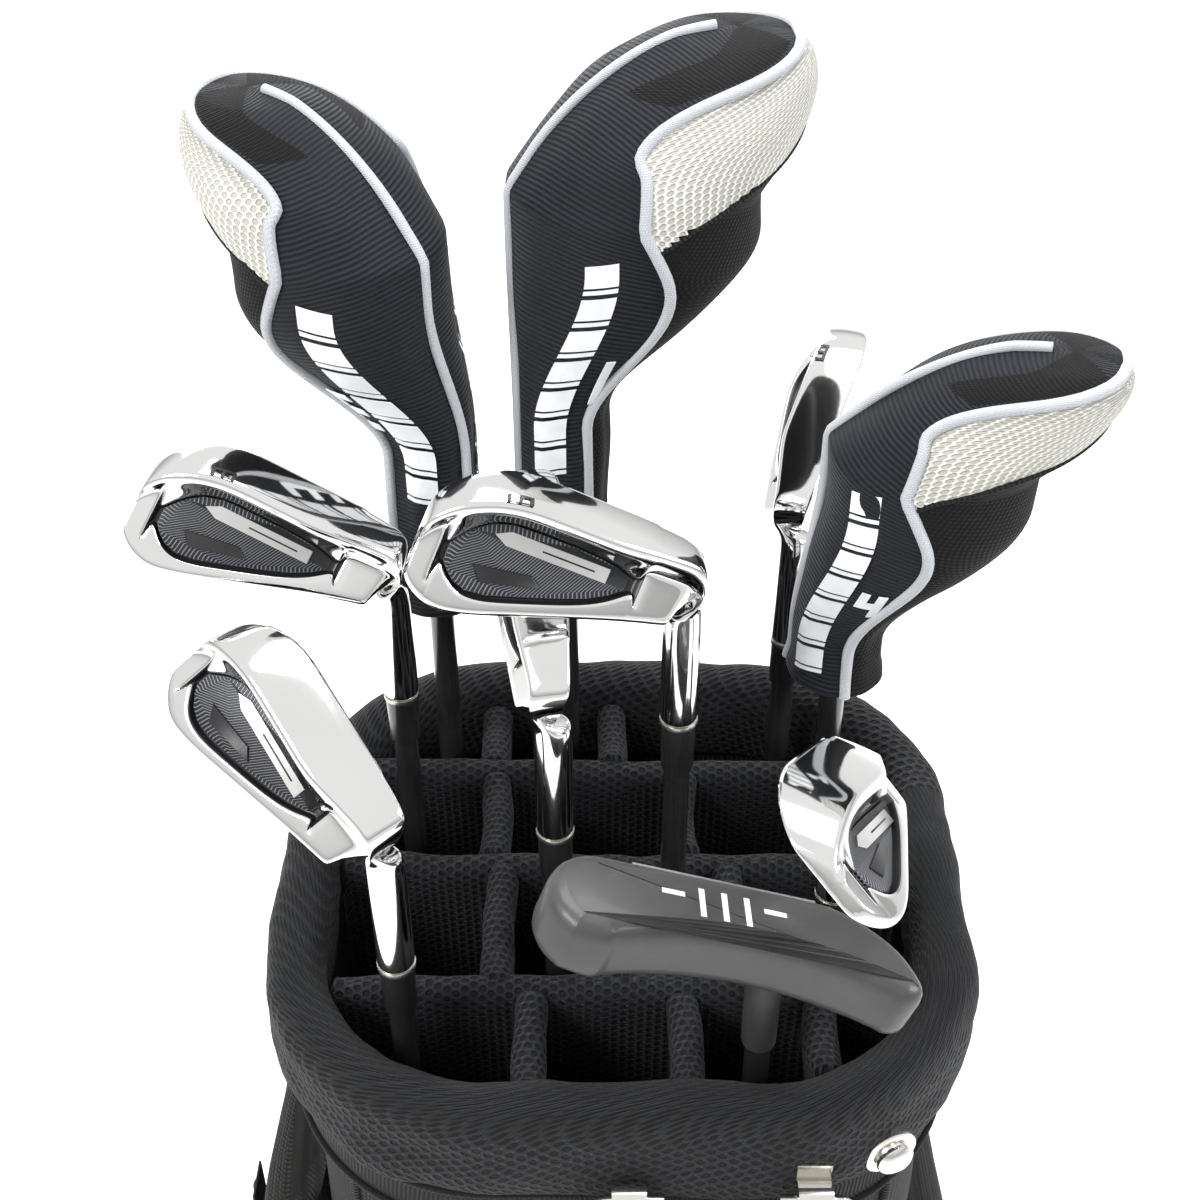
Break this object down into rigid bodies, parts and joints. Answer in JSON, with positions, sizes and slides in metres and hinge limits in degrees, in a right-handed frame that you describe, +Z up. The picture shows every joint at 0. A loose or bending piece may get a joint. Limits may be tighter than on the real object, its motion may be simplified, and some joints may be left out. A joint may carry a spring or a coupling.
{
  "type": "golf club set in bag",
  "caption": "Golf clubs standing in a divided bag: three covered woods, six cavity-back irons and a mallet putter, each lifting from its own padded well.",
  "frame": {"origin": "centre of the flat underside of the base cup, on the ground", "axes": "+Z up along the bag and the clubs, -Y towards the front with the grab handle, +X to the right seen from the front"},
  "size_m": [0.3439, 0.3422, 1.0984],
  "materials": {
    "grip_rubber": "matte",
    "shaft": "satin",
    "ferrule": "gloss",
    "badge": "matte",
    "cover_knit": "knit",
    "putter_metal": "matte",
    "putter_insert": "satin",
    "wood_paint": "gloss",
    "iron_chrome": "polished",
    "base_plastic": "moulded",
    "body_cloth": "woven",
    "rim_mesh": "air mesh",
    "divider_mesh": "air mesh",
    "zip": "satin",
    "stay_tube": "satin",
    "trim_metal": "polished",
    "handle_wrap": "woven",
    "strap_web": "woven"
  },
  "bodies": {
    "bag": {"base_foot": "base_plastic", "bag_body": "body_cloth", "rim_pad": "rim_mesh", "dividers": "divider_mesh", "side_pocket": "body_cloth", "ball_pocket": "body_cloth", "right_pocket": "body_cloth", "zips": "zip", "back_stays": "stay_tube", "grab_mounts": "trim_metal", "snap_stud": "trim_metal", "strap_rings": "stay_tube", "shoulder_strap": "strap_web"},
    "handle": {"grab_handle": "handle_wrap"},
    "driver": {"driver_head": "wood_paint", "driver_shaft": "shaft", "driver_grip": "grip_rubber"},
    "fairway": {"fairway_head": "wood_paint", "fairway_shaft": "shaft", "fairway_grip": "grip_rubber"},
    "hybrid": {"hybrid_head": "wood_paint", "hybrid_shaft": "shaft", "hybrid_grip": "grip_rubber"},
    "i6": {"i6_head": "iron_chrome", "i6_badge": "badge", "i6_ferrule": "ferrule", "i6_shaft": "shaft", "i6_grip": "grip_rubber"},
    "i7": {"i7_head": "iron_chrome", "i7_badge": "badge", "i7_ferrule": "ferrule", "i7_shaft": "shaft", "i7_grip": "grip_rubber"},
    "i8": {"i8_head": "iron_chrome", "i8_badge": "badge", "i8_ferrule": "ferrule", "i8_shaft": "shaft", "i8_grip": "grip_rubber"},
    "i9": {"i9_head": "iron_chrome", "i9_badge": "badge", "i9_ferrule": "ferrule", "i9_shaft": "shaft", "i9_grip": "grip_rubber"},
    "pw": {"pw_head": "iron_chrome", "pw_badge": "badge", "pw_ferrule": "ferrule", "pw_shaft": "shaft", "pw_grip": "grip_rubber"},
    "sw": {"sw_head": "iron_chrome", "sw_badge": "badge", "sw_ferrule": "ferrule", "sw_shaft": "shaft", "sw_grip": "grip_rubber"},
    "putter": {"putter_head": "putter_metal", "putter_face": "putter_insert", "putter_shaft": "shaft", "putter_grip": "grip_rubber"},
    "driver_cover": {"driver_cover": "cover_knit"},
    "fairway_cover": {"fairway_cover": "cover_knit"},
    "hybrid_cover": {"hybrid_cover": "cover_knit"}
  },
  "joints": [
    {"name": "handle_swing", "type": "hinge", "parent": "bag", "child": "handle", "pos_m": [0.034, -0.13, 0.779], "axis": [1, 0, 0], "range_deg": [-95, 0]},
    {"name": "driver_lift", "type": "slide", "parent": "bag", "child": "driver", "axis": [0, 0, 1], "range_m": [0, 0.85]},
    {"name": "fairway_lift", "type": "slide", "parent": "bag", "child": "fairway", "axis": [0, 0, 1], "range_m": [0, 0.85]},
    {"name": "hybrid_lift", "type": "slide", "parent": "bag", "child": "hybrid", "axis": [0, 0, 1], "range_m": [0, 0.85]},
    {"name": "i6_lift", "type": "slide", "parent": "bag", "child": "i6", "axis": [0, 0, 1], "range_m": [0, 0.85]},
    {"name": "i7_lift", "type": "slide", "parent": "bag", "child": "i7", "axis": [0, 0, 1], "range_m": [0, 0.008]},
    {"name": "i8_lift", "type": "slide", "parent": "bag", "child": "i8", "axis": [0, 0, 1], "range_m": [0, 0.85]},
    {"name": "i9_lift", "type": "slide", "parent": "bag", "child": "i9", "axis": [0, 0, 1], "range_m": [0, 0.85]},
    {"name": "pw_lift", "type": "slide", "parent": "bag", "child": "pw", "axis": [0, 0, 1], "range_m": [0, 0.85]},
    {"name": "sw_lift", "type": "slide", "parent": "bag", "child": "sw", "axis": [0, 0, 1], "range_m": [0, 0.85]},
    {"name": "putter_lift", "type": "slide", "parent": "bag", "child": "putter", "axis": [0, 0, 1], "range_m": [0, 0.03]},
    {"name": "driver_cover_pull", "type": "slide", "parent": "driver", "child": "driver_cover", "axis": [0, 0, 1], "range_m": [0, 0.24], "deforming": ["driver_cover"]},
    {"name": "fairway_cover_pull", "type": "slide", "parent": "fairway", "child": "fairway_cover", "axis": [0, 0, 1], "range_m": [0, 0.24], "deforming": ["fairway_cover"]},
    {"name": "hybrid_cover_pull", "type": "slide", "parent": "hybrid", "child": "hybrid_cover", "axis": [0, 0, 1], "range_m": [0, 0.24], "deforming": ["hybrid_cover"]}
  ]
}
